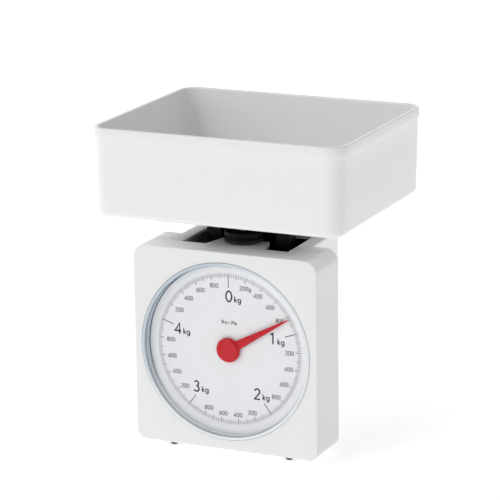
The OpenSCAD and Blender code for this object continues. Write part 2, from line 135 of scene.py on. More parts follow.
def round_rect(w, d, r, seg=12, step=None, low_r=None):
    """Outline of a w by d rectangle with round corners, anticlockwise from the right side. step is
    how many parts its level and upright sides are in. The two corners of the lower side may have
    their own radius, low_r."""
    r = max(r, 0.01)
    points = []
    corners = [(1, 1, 0), (-1, 1, 90), (-1, -1, 180), (1, -1, 270)]
    for cx, cy, start in corners:
        if low_r and cy < 0:
            r = max(low_r, 0.01)
        for k in range(seg + 1):
            a = math.radians(start + 90 * k / seg)
            points.append((cx * (w / 2 - r) + r * math.cos(a), cy * (d / 2 - r) + r * math.sin(a)))
    if not step:
        return points
    dense = []
    for i, p in enumerate(points):
        q = points[(i + 1) % len(points)]
        dense.append(p)
        if i % (seg + 1) == seg:
            parts = step[0] if (i // (seg + 1)) % 2 == 0 else step[1]
            dense += [(p[0] + (q[0] - p[0]) * k / parts, p[1] + (q[1] - p[1]) * k / parts)
                      for k in range(1, parts)]
    return dense


def inset(points, by):
    """The outline moved inwards by a distance along its mitred normals."""
    out, n = [], len(points)
    for i, p in enumerate(points):
        a, b = points[i - 1], points[(i + 1) % n]
        e1 = Vector((p[0] - a[0], p[1] - a[1]))
        e2 = Vector((b[0] - p[0], b[1] - p[1]))
        n1 = Vector((-e1.y, e1.x)).normalized()
        n2 = Vector((-e2.y, e2.x)).normalized()
        m = (n1 + n2).normalized()
        m /= max(m.dot(n1), 0.3)
        out.append((p[0] + m.x * by, p[1] + m.y * by))
    return out


def prism(name, outline, z0, z1, top, bottom, seg=4, **ride):
    """A prism along Z on an anticlockwise outline, with round top and bottom edges."""
    rings = []
    for k in range(seg + 1):
        a = math.pi / 2 * k / seg
        rings.append([(x, y, z0 + bottom * (1 - math.cos(a)))
                      for x, y in inset(outline, bottom * (1 - math.sin(a)))])
    for k in range(seg + 1):
        a = math.pi / 2 * k / seg
        rings.append([(x, y, z1 - top * (1 - math.sin(a)))
                      for x, y in inset(outline, top * (1 - math.cos(a)))])
    return new_object(name, *loft(rings), **ride)


def block(name, low, high, **ride):
    outline = [(low[0], low[1]), (high[0], low[1]), (high[0], high[1]), (low[0], high[1])]
    return new_object(name, *loft([[(x, y, z) for x, y in outline] for z in (low[2], high[2])]), **ride)


def arc(cx, cy, rx, ry, a0, a1, n=10):
    return [(cx + rx * math.cos(math.radians(a0 + (a1 - a0) * k / n)),
             cy + ry * math.sin(math.radians(a0 + (a1 - a0) * k / n))) for k in range(n + 1)]


def merge(parts):
    """Several (points, faces) lists as one."""
    verts, faces = [], []
    for v, f in parts:
        base = len(verts)
        verts += v
        faces += [tuple(base + i for i in face) for face in f]
    return verts, faces


# ---------------------------------------------------------------- materials


BROAD_SIZE = 45.0                    # size of the slow change of colour over a surface
NOISE_LOW, NOISE_HIGH = 0.3, 0.7     # where nearly all of the noise lies
RELIEF_M = 0.0002
# Painted highlight on pointy edges: they are lightened towards this grey as if they caught the light.
EDGE_HIGHLIGHT_COLOUR = (0.16, 0.16, 0.165)
HIGHLIGHT_FROM, HIGHLIGHT_TO = 0.52, 0.60      # pointiness from which an edge gets the painted highlight
# Painted shade and light on the clear cover's edge: it is deep in tone towards the dial's upper left,
# where the dial's well lies in shade, and pale on the other side, where it is lit. The change runs along
# (SHADE_X, SHADE_Z) from the dial's centre, in radii of SHADE_R_M.
SHADE_X, SHADE_Z, SHADE_R_M, SHADE_CENTRE_M = -0.78, 0.62, 0.068, 0.081
SHADE_START, SHADE_END = 0.05, 0.80


def material(name, colour, rough, metal=0.0, grain=0.5, bump=0.05, vary=0.03, rough_vary=0.05,
             stretch=(1, 1, 1), coat=0.0, coat_rough=0.1, specular=0.5, alpha=1.0, edge_highlight=0.0,
             painted_shade_colour=None):
    """A moulded, turned or pressed surface. grain is the size in millimetres of its fine texture,
    edge_highlight is how far pointy edges are lightened towards EDGE_HIGHLIGHT_COLOUR as a painted
    highlight, and painted_shade_colour is the painted shade on the clear cover's edge, towards the
    dial's upper left."""
    m = bpy.data.materials.new(name)
    m.use_nodes = True
    nodes, links = m.node_tree.nodes, m.node_tree.links
    shader = nodes["Principled BSDF"]
    shader.inputs["Metallic"].default_value = metal
    shader.inputs["Coat Weight"].default_value = coat
    shader.inputs["Coat Roughness"].default_value = coat_rough
    shader.inputs["Specular IOR Level"].default_value = specular
    shader.inputs["Alpha"].default_value = alpha
    coords = nodes.new("ShaderNodeTexCoord")
    mapping = nodes.new("ShaderNodeMapping")
    mapping.inputs["Scale"].default_value = stretch
    links.new(coords.outputs["Object"], mapping.inputs["Vector"])

    def noise(size, detail):
        n = nodes.new("ShaderNodeTexNoise")
        n.inputs["Scale"].default_value = 1000.0 / size
        n.inputs["Detail"].default_value = detail
        n.inputs["Roughness"].default_value = 0.55
        links.new(mapping.outputs["Vector"], n.inputs["Vector"])
        return n

    def mix(under, over, factor):
        """The output under, with the fixed colour over laid on it as far as factor goes."""
        layer = nodes.new("ShaderNodeMix")
        layer.data_type = "RGBA"
        layer.inputs["B"].default_value = (*over, 1)
        links.new(factor, layer.inputs["Factor"])
        links.new(under, layer.inputs["A"])
        return layer.outputs["Result"]

    def span(source, low, high):
        r = nodes.new("ShaderNodeMapRange")
        r.inputs["From Min"].default_value = NOISE_LOW
        r.inputs["From Max"].default_value = NOISE_HIGH
        r.inputs["To Min"].default_value = low
        r.inputs["To Max"].default_value = high
        links.new(source, r.inputs["Value"])
        return r.outputs["Result"]

    broad, fine = noise(BROAD_SIZE, 3.0), noise(grain, 4.0)
    tint = nodes.new("ShaderNodeMix")
    tint.data_type = "RGBA"
    dark = [c * (1 - vary) for c in colour]
    light = [min(1.0, c * (1 + vary)) for c in colour]
    tint.inputs["A"].default_value = (*dark, 1)
    tint.inputs["B"].default_value = (*light, 1)
    links.new(span(broad.outputs["Fac"], 0.0, 1.0), tint.inputs["Factor"])
    colour_out = tint.outputs["Result"]
    # Painted highlight: pointy edges are lightened towards a grey as if lit.
    if edge_highlight:
        edge = nodes.new("ShaderNodeNewGeometry")
        edge_span = nodes.new("ShaderNodeMapRange")
        edge_span.inputs["From Min"].default_value = HIGHLIGHT_FROM
        edge_span.inputs["From Max"].default_value = HIGHLIGHT_TO
        edge_span.inputs["To Max"].default_value = edge_highlight
        links.new(edge.outputs["Pointiness"], edge_span.inputs["Value"])
        colour_out = mix(colour_out, EDGE_HIGHLIGHT_COLOUR, edge_span.outputs["Result"])
    # Painted shade and light: the colour turns towards the painted shade colour along a fixed direction,
    # deepest towards the dial's upper left.
    if painted_shade_colour:
        towards = nodes.new("ShaderNodeVectorMath")
        towards.operation = "DOT_PRODUCT"
        towards.inputs[1].default_value = (SHADE_X / SHADE_R_M, 0.0, SHADE_Z / SHADE_R_M)
        links.new(coords.outputs["Object"], towards.inputs[0])
        around = nodes.new("ShaderNodeMapRange")
        around.interpolation_type = "SMOOTHSTEP"
        centre = SHADE_Z * SHADE_CENTRE_M / SHADE_R_M
        around.inputs["From Min"].default_value = SHADE_START + centre
        around.inputs["From Max"].default_value = SHADE_END + centre
        links.new(towards.outputs["Value"], around.inputs["Value"])
        colour_out = mix(colour_out, painted_shade_colour, around.outputs["Result"])
    links.new(colour_out, shader.inputs["Base Color"])
    links.new(span(fine.outputs["Fac"], rough - rough_vary, rough + rough_vary),
              shader.inputs["Roughness"])
    relief = nodes.new("ShaderNodeBump")
    relief.inputs["Strength"].default_value = bump
    relief.inputs["Distance"].default_value = RELIEF_M
    links.new(fine.outputs["Fac"], relief.inputs["Height"])
    links.new(relief.outputs["Normal"], shader.inputs["Normal"])
    return m


M = {
    "housing_white": material("housing_white", (0.86, 0.862, 0.865), 0.34, grain=0.9, bump=0.02,
                              vary=0.006, coat=0.2, coat_rough=0.18),
    # Painted light: the rear shell is the same white plastic as the front shell, made lighter so that
    # the top's L-shaped areas under the bowl look lit.
    "rear_white_painted_light": material("rear_white_painted_light", (0.94, 0.941, 0.943), 0.34, grain=0.9, bump=0.02, vary=0.006,
                           coat=0.2, coat_rough=0.18),
    "bowl_white": material("bowl_white", (0.88, 0.881, 0.883), 0.24, grain=2.0, bump=0.012, vary=0.005,
                           coat=0.35, coat_rough=0.1),
    "black_plastic": material("black_plastic", (0.0025, 0.0025, 0.003), 0.30, grain=0.5, bump=0.08,
                              vary=0.15, specular=0.2),
    # The knob's pointy edges get a painted highlight.
    "knob_black": material("knob_black", (0.002, 0.002, 0.0025), 0.30, grain=0.4, bump=0.08, vary=0.15,
                           specular=0.16, edge_highlight=0.3),
    "foot_rubber": material("foot_rubber", (0.03, 0.03, 0.032), 0.75, grain=0.35, bump=0.2, vary=0.2,
                            specular=0.3),
    "clear_plastic": material("clear_plastic", (0.02, 0.025, 0.03), 0.04, grain=4.0, bump=0.004,
                              vary=0.01, rough_vary=0.01, alpha=0.012),
    # The clear cover's rim, its wall and its line carry painted light and shade: pale on the lit side
    # and deeper blue-grey towards the dial's upper left, as painted shade of the well. The rim's pale,
    # nearly opaque white is a painted highlight of its round edge.
    "lens_rim": material("lens_rim", (0.85, 0.875, 0.90), 0.08, grain=3.0, bump=0.01, vary=0.01,
                         rough_vary=0.02, coat=0.5, coat_rough=0.03, painted_shade_colour=(0.56, 0.64, 0.71)),
    "lens_wall": material("lens_wall", (0.90, 0.92, 0.95), 0.15, grain=3.0, bump=0.01, vary=0.01,
                          rough_vary=0.03, painted_shade_colour=(0.74, 0.79, 0.85)),
    "lens_line": material("lens_line", (0.42, 0.44, 0.50), 0.2, grain=3.0, bump=0.01, vary=0.01,
                          rough_vary=0.03, painted_shade_colour=(0.36, 0.42, 0.50)),
    # Painted shadow: a thin ring at the foot of the cover's wall, dark towards the dial's upper left
    # where the wall meets the dial in shade, and pale like the wall elsewhere.
    "wall_foot_shadow": material("wall_foot_shadow", (0.80, 0.82, 0.85), 0.2, grain=3.0, bump=0.01, vary=0.01,
                          rough_vary=0.03, painted_shade_colour=(0.15, 0.20, 0.27)),
    "dial_edge": material("dial_edge", (0.95, 0.96, 0.97), 0.3, grain=3.0, bump=0.01, vary=0.01,
                          specular=0.3),
    "dial_white": material("dial_white", (0.90, 0.905, 0.93), 0.55, grain=0.4, bump=0.01, vary=0.006,
                           specular=0.35),
    "dial_ink": material("dial_ink", (0.02, 0.021, 0.025), 0.5, grain=0.4, bump=0.03, vary=0.2,
                         specular=0.2),
    "dial_grey": material("dial_grey", (0.20, 0.205, 0.22), 0.55, grain=0.4, bump=0.03, vary=0.1,
                          specular=0.3),
    "pointer_red": material("pointer_red", (0.58, 0.003, 0.014), 0.20, grain=1.2, bump=0.01, vary=0.04,
                            specular=0.26, coat=0.25, coat_rough=0.1),
    "brass": material("brass", (0.75, 0.57, 0.24), 0.30, metal=1.0, grain=0.3, bump=0.1, vary=0.08,
                      rough_vary=0.08),
    "plate_steel": material("plate_steel", (0.60, 0.61, 0.62), 0.34, metal=1.0, grain=0.35, bump=0.08,
                            vary=0.06, rough_vary=0.1, stretch=(0.08, 1, 1)),
    "screw_steel": material("screw_steel", (0.56, 0.57, 0.58), 0.28, metal=1.0, grain=0.2, bump=0.1,
                            vary=0.08, rough_vary=0.08),
    "spring_steel": material("spring_steel", (0.45, 0.46, 0.48), 0.26, metal=1.0, grain=0.3, bump=0.08,
                             vary=0.08, rough_vary=0.08),
}

# Every CAD node gets its slot's finish. Those that a piece below replaces aren't shown.
for part in frame["record"]["subparts"]:
    node = frame["nodes"][part["node"]]
    node.data.materials.clear()
    node.data.materials.append(M[part["material_slot"]])


def finish_as(obj, name):
    obj.data.materials.clear()
    obj.data.materials.append(M[name])
    return obj


# ---------------------------------------------------------------- camera, in metres and degrees

CAMERA_AZIMUTH = math.radians(24.46)
CAMERA_ELEVATION = math.radians(14.86)
CAMERA_ROLL = math.radians(-0.69)
CAMERA_DISTANCE = 1.98455
CAMERA_AIM = Vector((0.0074, -0.0354, 0.1531))
CAMERA_LENS = 190.52

sa, ca = math.sin(CAMERA_AZIMUTH), math.cos(CAMERA_AZIMUTH)
se, ce = math.sin(CAMERA_ELEVATION), math.cos(CAMERA_ELEVATION)
away = Vector((sa * ce, -ca * ce, se))
level = Vector((ca, sa, 0))
upright = away.cross(level)
right = level * math.cos(CAMERA_ROLL) + upright * math.sin(CAMERA_ROLL)
up = upright * math.cos(CAMERA_ROLL) - level * math.sin(CAMERA_ROLL)
camera_data = bpy.data.cameras.new("camera")
camera_data.lens = CAMERA_LENS
camera_data.sensor_width = 36.0
camera_data.clip_end = 50.0
camera = bpy.data.objects.new("camera", camera_data)
scene.collection.objects.link(camera)
basis = Matrix((right, up, away)).transposed().to_4x4()
camera.matrix_world = Matrix.Translation(CAMERA_AIM + away * CAMERA_DISTANCE) @ basis
scene.camera = camera

# ---------------------------------------------------------------- housing, front shell

BODY_W, BODY_H, CORNER_R, LOW_CORNER_R = 150.0, 154.0, 10.0, 7.5
BOTTOM_Z, TOP_Z, MID_Z = 4.0, 158.0, 81.0
FRONT_Y, SEAM_Y, SHELL_Y, BACK_Y = -67.0, -47.0, -25.5, 33.0
WALL, INSET_HALF = 2.2, 70.0
LENS_R, WELL_R, SEAT_DEPTH = 68.9, 68.0, 1.2
SEAT_R, SEAT_EDGE = LENS_R + 0.2, 0.45          # hole for the dial cover, and its round edge
FRONT_EDGE, SHAFT_HOLE_R, DIAL_SHELL = 1.3, 3.0, 3
DIAL_Y = -59.0
SLOT_HALF, SLOT_BACK = 43.5, 0.0
UPPER = 150.0 - MID_Z                           # from MID_Z: only the top side and its corners lie above
EPS = 0.05                                      # slack in comparing places


def front_shell():
    """A closed skin of rings: bush hole, dial well, front face, sides, rim, and back inside."""
    seg, steps = 12, (44, 46)

    def outline(by, y):
        pts = round_rect(BODY_W - 2 * by, BODY_H - 2 * by, CORNER_R - by, seg, steps,
                         LOW_CORNER_R - by)
        return [(x, y, MID_Z + z) for x, z in pts]

    outer = outline(0, 0)
    angles = [math.atan2(p[2] - MID_Z, p[0]) for p in outer]

    def circle(r, y):
        return [(r * math.cos(a), y, MID_Z + r * math.sin(a)) for a in angles]

    floor_y = DIAL_Y + 1
    rings = [circle(SHAFT_HOLE_R, floor_y), circle(WELL_R, floor_y),
             circle(WELL_R, FRONT_Y + SEAT_DEPTH), circle(SEAT_R, FRONT_Y + SEAT_DEPTH),
             circle(SEAT_R, FRONT_Y + SEAT_EDGE)]
    for k in range(1, 4):
        a = math.pi / 2 * k / 3
        rings.append(circle(SEAT_R + SEAT_EDGE * (1 - math.cos(a)),
                            FRONT_Y + SEAT_EDGE * (1 - math.sin(a))))
    # A ring half way between the hole and the outline keeps the front face's quads short.
    rings.append([tuple(0.5 * (p + q) for p, q in zip(a, b))
                  for a, b in zip(circle(LENS_R + 0.65, FRONT_Y), outline(FRONT_EDGE, FRONT_Y))])
    for k in range(9):
        a = math.pi / 2 * k / 8
        rings.append(outline(FRONT_EDGE * (1 - math.sin(a)),
                             FRONT_Y + FRONT_EDGE * (1 - math.cos(a))))
    rings.append(outline(0, SEAM_Y - 0.3))
    cut = len(rings)
    rings += [outline(0, SEAM_Y), outline(0, SHELL_Y - 0.4), outline(0.4, SHELL_Y)]
    rings += [outline(WALL, SHELL_Y), outline(WALL, SEAM_Y)]
    cut_end = len(rings) - 1
    rings += [outline(WALL, FRONT_Y + WALL), circle(SEAT_R, FRONT_Y + WALL),
              circle(SEAT_R, DIAL_Y + DIAL_SHELL), circle(SHAFT_HOLE_R, DIAL_Y + DIAL_SHELL)]
    n = len(outer)
    # Between the rings cut and cut_end the top has an opening, as wide as the rear shell's inset.
    top = [i for i, p in enumerate(outer)
           if p[2] - MID_Z > UPPER and abs(p[0]) <= INSET_HALF + EPS]
    first, last = min(top), max(top)
    verts = [p for ring in rings for p in ring]
    faces = []
    for j in range(len(rings)):
        a, b = j * n, ((j + 1) % len(rings)) * n
        for i in range(n):
            if cut <= j < cut_end and first <= i < last:
                continue
            faces.append((a + i, a + (i + 1) % n, b + (i + 1) % n, b + i))
    for i in range(first, last):
        faces.append((cut * n + i, cut * n + i + 1, cut_end * n + i + 1, cut_end * n + i))
    for i in (first, last):
        faces.append(tuple(j * n + i for j in range(cut, cut_end + 1)))
    return new_object("front_shell", verts, faces, body="housing", slot="housing_white",
                      replaces=["front_housing"])


finish_as(front_shell(), "housing_white")

TONGUE_FRONT, TONGUE_BACK, TONGUE_Y, TONGUE_R, TONGUE_T = 24.5, 19.6, -23.8, 3.0, 3


def tongue():
    """The tongue behind the top strip: flush with it at the seam, round along its other edges."""
    bm = bmesh.new()
    r = TONGUE_R
    plan = [(TONGUE_FRONT, SEAM_Y), (-TONGUE_FRONT, SEAM_Y)]
    plan += arc(-TONGUE_BACK + r, TONGUE_Y - r, r, r, 180, 90, 6)
    plan += arc(TONGUE_BACK - r, TONGUE_Y - r, r, r, 90, 0, 6)
    low = [bm.verts.new((x * MM, y * MM, (TOP_Z - TONGUE_T) * MM)) for x, y in plan]
    high = [bm.verts.new((x * MM, y * MM, TOP_Z * MM)) for x, y in plan]
    n = len(plan)
    bm.faces.new(low)
    bm.faces.new(high[::-1])
    for i in range(n):
        bm.faces.new((low[i], low[(i + 1) % n], high[(i + 1) % n], high[i]))
    bmesh.ops.recalc_face_normals(bm, faces=bm.faces)
    edges = [e for e in bm.edges if e.verts[0] in high and e.verts[1] in high
             and not all(abs(v.co.y - SEAM_Y * MM) < 1e-6 for v in e.verts)]
    bmesh.ops.bevel(bm, geom=edges, offset=0.6 * MM, segments=3, profile=0.5, affect="EDGES")
    mesh = bpy.data.meshes.new("tongue")
    bm.to_mesh(mesh)
    bm.free()
    obj = bpy.data.objects.new("tongue", mesh)
    scene.collection.objects.link(obj)
    shade(obj)
    place(obj, "housing")
    return obj


finish_as(tongue(), "housing_white")

# ---------------------------------------------------------------- housing, rear shell

BULGE_HALF, BULGE_R, BULGE_EDGE = 54.5, 12.0, 1.2
LID_Y = SHELL_Y - WALL
GAP = 0.3                                       # seam between the two shells
CUT_Z, CUT_TOP, UNDER_HALF, PLATE_RIB = TOP_Z - 8, TOP_Z + 3, 80, 1.5


def bulge_outline(half, back, r, front):
    """Plan of the bulge: a straight front and two round rear corners."""
    pts = [(-half, front), (half, front)]
    pts += arc(half - r, back - r, r, r, 0, 90, 12)
    pts += arc(-half + r, back - r, r, r, 90, 180, 12)
    return pts


def rear_shell():
    """A round-edged bulge with a flat lid and the top's L-shaped areas, hollowed and slotted."""

    def bulge_ring(by, z, front=LID_Y):
        return [(x, y, z)
                for x, y in bulge_outline(BULGE_HALF - by, BACK_Y - by, BULGE_R - by, front)]

    quarter = [math.pi / 2 * k / 4 for k in range(5)]
    rings = [bulge_ring(BULGE_EDGE * (1 - math.sin(a)), BOTTOM_Z + BULGE_EDGE * (1 - math.cos(a)))
             for a in quarter]
    rings += [bulge_ring(BULGE_EDGE * (1 - math.cos(a)), TOP_Z - BULGE_EDGE * (1 - math.sin(a)))
              for a in quarter]
    shell = new_object("rear_shell", *loft(rings))
    slab = round_rect(BODY_W - 2 * WALL - 2 * GAP, BODY_H - 2 * WALL - 2 * GAP, CORNER_R - WALL, 12)
    lid = new_object("lid", *loft([[(x, y, MID_Z + z) for x, z in slab] for y in (LID_Y, SHELL_Y)]))
    boolean(shell, lid, "UNION")
    full = round_rect(BODY_W, BODY_H, CORNER_R, 12)
    top = [(x, z) for x, z in full if z > UPPER and abs(x) <= INSET_HALF + EPS]
    half = INSET_HALF - GAP
    arc_z = math.sqrt(CORNER_R ** 2 - (half - BODY_W / 2 + CORNER_R) ** 2) + BODY_H / 2 - CORNER_R
    top = [(half, arc_z)] + top[1:-1] + [(-half, arc_z)]
    low_z = BODY_H / 2 - WALL - PLATE_RIB
    plate = top + [(-half, low_z), (half, low_z)]
    inset_top = new_object("inset_top", *loft(
        [[(x, y, MID_Z + z) for x, z in plate] for y in (SEAM_Y + GAP, SHELL_Y)]))
    boolean(shell, inset_top, "UNION")
    inner = [bulge_ring(WALL, z, LID_Y - 3) for z in (BOTTOM_Z + WALL, TOP_Z - WALL)]
    boolean(shell, new_object("inner", *loft(inner)), "DIFFERENCE")
    boolean(shell, block("under", (-UNDER_HALF, SEAM_Y - 4, CUT_Z),
                         (UNDER_HALF, LID_Y, TOP_Z - WALL)), "DIFFERENCE")
    boolean(shell, block("slot", (-SLOT_HALF, SEAM_Y - 3, CUT_Z), (SLOT_HALF, SLOT_BACK, CUT_TOP)),
            "DIFFERENCE")
    bevel(shell, 0.35, 2, 50)
    place(shell, "housing", ["rear_housing"])
    return shell


# The rear shell takes the lighter white, which is painted light.
finish_as(rear_shell(), "rear_white_painted_light")

# ---------------------------------------------------------------- dial

LENS_FRONT, SEAT_Y = FRONT_Y - 0.8, FRONT_Y + SEAT_DEPTH
PANE_R, RIM_R, RIM_EDGE, WALL_IN, WALL_OUT = 66.6, 67.6, 1.3, 66.3, WELL_R - 0.1
RIM_ROUND = (15, 30, 45, 60, 75, 90)
LINE_IN, LINE_OUT, LINE_T = 65.9, 66.5, 0.5
FOOT_W, FOOT_HIGH, FOOT_LOW = 0.7, DIAL_Y - 0.9, DIAL_Y - 0.4
DIAL_RIM_IN = 60.6


def dial_ring(name, profile, finish, slot="clear_plastic", sides=192, closed=True, replaces=()):
    """A piece turned about the dial's axis. The profile is (radius, y), and closed rings have no
    caps at their ends."""
    angles = [2 * math.pi * k / sides for k in range(sides)]
    rings = [[(r * math.cos(a), y, MID_Z + r * math.sin(a)) for a in angles] for r, y in profile]
    obj = new_object(name, *loft(rings, closed=closed), body="housing", slot=slot, replaces=replaces)
    return finish_as(obj, finish)


dial_ring("lens_pane", [(0.01, LENS_FRONT), (PANE_R, LENS_FRONT), (PANE_R, SEAT_Y), (0.01, SEAT_Y)],
          "clear_plastic", sides=160, closed=False)
rim = [(PANE_R, LENS_FRONT + 0.25), (PANE_R + 0.25, LENS_FRONT), (RIM_R, LENS_FRONT)]
rim += [(RIM_R + RIM_EDGE * math.sin(math.radians(a)),
         LENS_FRONT + RIM_EDGE * (1 - math.cos(math.radians(a)))) for a in RIM_ROUND]
rim += [(LENS_R, SEAT_Y), (PANE_R, SEAT_Y)]
dial_ring("lens_rim", rim, "lens_rim", replaces=["lens"])
dial_ring("lens_wall", [(WALL_OUT, SEAT_Y), (WALL_OUT, DIAL_Y), (WALL_IN, DIAL_Y),
                        (WALL_IN, DIAL_Y - 0.6), (WALL_IN + 0.6, DIAL_Y - 1.2),
                        (WALL_IN + 0.8, SEAT_Y)], "lens_wall")
dial_ring("lens_line", [(LINE_IN, SEAT_Y), (LINE_OUT, SEAT_Y), (LINE_OUT, SEAT_Y + LINE_T),
                        (LINE_IN, SEAT_Y + LINE_T)], "lens_line")
# Painted shadow ring at the foot of the cover's wall, where it meets the dial.
dial_ring("wall_foot_shadow", [(WALL_IN - FOOT_W, FOOT_HIGH), (WALL_IN, FOOT_HIGH), (WALL_IN, FOOT_LOW),
                        (WALL_IN - FOOT_W, FOOT_LOW)], "wall_foot_shadow")
dial_ring("dial_edge", [(DIAL_RIM_IN, DIAL_Y), (DIAL_RIM_IN + 0.3, DIAL_Y - 0.3),
                        (WALL_IN, DIAL_Y - 0.5), (WALL_IN, DIAL_Y)], "dial_edge", slot="dial_white")

# Strokes of the characters on the dial, on a cap height of 1
GLYPHS = {
    "0": (0.62, [arc(0.31, 0.5, 0.27, 0.47, 90, 450, 28)]),
    "1": (0.36, [[(0.02, 0.86), (0.26, 0.97), (0.26, 0.0)]]),
    "2": (0.60, [arc(0.29, 0.72, 0.25, 0.25, 165, -38, 14) + [(0.04, 0.03), (0.56, 0.03)]]),
    "3": (0.58, [arc(0.27, 0.75, 0.21, 0.22, 150, -90, 14), arc(0.26, 0.27, 0.26, 0.25, 90, -150, 16)]),
    "4": (0.64, [[(0.47, 0.0), (0.47, 0.97), (0.03, 0.26), (0.61, 0.26)]]),
    "5": (0.58, [[(0.52, 0.97), (0.18, 0.97), (0.11, 0.55)]
                 + arc(0.27, 0.31, 0.26, 0.29, 118, -145, 16)]),
    "6": (0.60, [arc(0.30, 0.28, 0.25, 0.26, 90, 450, 24), [(0.07, 0.38), (0.40, 0.97)]]),
    "8": (0.60, [arc(0.30, 0.75, 0.20, 0.21, 90, 450, 22), arc(0.30, 0.27, 0.26, 0.26, 90, 450, 24)]),
    "k": (0.46, [[(0.05, 1.0), (0.05, 0.0)], [(0.05, 0.24), (0.38, 0.62)], [(0.16, 0.37), (0.42, 0.0)]]),
    "g": (0.62, [arc(0.30, 0.31, 0.25, 0.27, 90, 450, 24),
                 [(0.56, 0.60), (0.56, -0.05)] + arc(0.31, -0.05, 0.25, 0.20, -10, -150, 10)]),
    "x": (0.44, [[(0.04, 0.0), (0.38, 0.56)], [(0.04, 0.56), (0.38, 0.0)]]),
    " ": (0.30, []),
}
INK_FRONT, INK_BACK = DIAL_Y - 0.08, DIAL_Y + 0.01


def ribbon(points, width):
    """A flat raised stroke on the dial, along points in the dial's own plane."""
    closed = len(points) > 3 and math.dist(points[0], points[-1]) < 1e-6
    pts = points[:-1] if closed else points
    n = len(pts)
    left, rightward = [], []
    for i, p in enumerate(pts):
        a = pts[i - 1] if (i or closed) else p
        b = pts[(i + 1) % n] if (i < n - 1 or closed) else p
        e1 = Vector((p[0] - a[0], p[1] - a[1]))
        e2 = Vector((b[0] - p[0], b[1] - p[1]))
        e1 = e1.normalized() if e1.length > 1e-9 else e2.normalized()
        e2 = e2.normalized() if e2.length > 1e-9 else e1
        n1, n2 = Vector((-e1.y, e1.x)), Vector((-e2.y, e2.x))
        m = n1 + n2
        m = m.normalized() if m.length > 1e-6 else n1
        m *= width / 2 / max(m.dot(n1), 0.5)
        left.append((p[0] + m.x, p[1] + m.y))
        rightward.append((p[0] - m.x, p[1] - m.y))
    verts, faces = [], []
    for i in range(n):
        for q, y in ((left[i], INK_FRONT), (rightward[i], INK_FRONT), (rightward[i], INK_BACK),
                     (left[i], INK_BACK)):
            verts.append((q[0], y, MID_Z + q[1]))
    for i in range(n if closed else n - 1):
        a, b = 4 * i, 4 * ((i + 1) % n)
        faces += [(a + k, a + (k + 1) % 4, b + (k + 1) % 4, b + k) for k in range(4)]
    if not closed:
        faces += [(0, 1, 2, 3), tuple(4 * (n - 1) + k for k in (3, 2, 1, 0))]
    return verts, faces


def text(string, cx, cz, height, width, gap=0.12):
    """Strokes of a word whose middle is at cx and whose characters are centred on cz."""
    total = sum(GLYPHS[c][0] for c in string) + gap * (len(string) - 1)
    x = cx - total * height / 2
    parts = []
    for c in string:
        w, strokes = GLYPHS[c]
        for s in strokes:
            parts.append(ribbon([(x + u * height, cz + (v - 0.5) * height) for u, v in s], width))
        x += (w + gap) * height
    return parts


DIVISIONS, PER_KG, PER_LABEL, PER_HALF = 250, 50, 10, 5
TICK_R = 58.8
# Length and stroke of the ticks
TICK, TICK_HALF, TICK_LABEL, TICK_KG = (2.8, 0.34), (3.6, 0.46), (4.4, 0.52), (10.6, 0.72)
KG_PLACES = [(0.3, 41.4), (35.3, 12.4), (22.7, -32.4), (-27.6, -32.1), (-42.3, 12.1)]
NUMERAL_H, NUMERAL_STROKE = 8.5, 1.15
UNIT_H, UNIT_STROKE, UNIT_RIGHT, UNIT_DOWN = 4.6, 0.7, 7.2, 1.8
LABELS, LABEL_STEP, LABEL_H, LABEL_STROKE = 25, 200, 3.3, 0.44
LABEL_RX, LABEL_RZ, LABEL_OFFSET, GRAM_RIGHT = 48.9, 50.8, 0.5, 4.8

ticks, characters = [], []
for i in range(DIVISIONS):
    a = 2 * math.pi * i / DIVISIONS
    length, width = TICK
    if i % PER_KG == 0:
        length, width = TICK_KG
    elif i % PER_LABEL == 0:
        length, width = TICK_LABEL
    elif i % PER_HALF == 0:
        length, width = TICK_HALF
    s, c = math.sin(a), math.cos(a)
    inside = TICK_R - length
    ticks.append(ribbon([(s * inside, c * inside), (s * TICK_R, c * TICK_R)], width))
for kg, (cx, cz) in enumerate(KG_PLACES):
    characters += text(str(kg), cx, cz, NUMERAL_H, NUMERAL_STROKE)
    characters += text("kg", cx + UNIT_RIGHT, cz - UNIT_DOWN, UNIT_H, UNIT_STROKE)
for i in range(1, LABELS):
    if i % len(KG_PLACES) == 0:
        continue
    a = 2 * math.pi * i / LABELS
    cx, cz = LABEL_RX * math.sin(a) + LABEL_OFFSET, LABEL_RZ * math.cos(a) - LABEL_OFFSET
    characters += text(str(i % len(KG_PLACES) * LABEL_STEP), cx, cz, LABEL_H, LABEL_STROKE)
    if i == 1:
        characters += text("g", cx + GRAM_RIGHT, cz, LABEL_H, LABEL_STROKE)
characters += text("5kg x 20g", 0.1, 21.3, 2.3, 0.38)
finish_as(new_object("dial_marks", *merge(characters), body="housing", slot="dial_white"), "dial_ink")
finish_as(new_object("dial_ticks", *merge(ticks), body="housing", slot="dial_white"), "dial_grey")

# ---------------------------------------------------------------- pointer

POINTER_Y, POINTER_LEN, HUB_R, REST_ANGLE = -63.0, 57.5, 9.5, math.radians(59.7)
HUB_SIDES = 96
ARM_START, ARM_HALF, ARM_TIP_HALF, ARM_TAPER, ARM_STEPS = 4.0, 3.55, 0.28, 0.92, 24


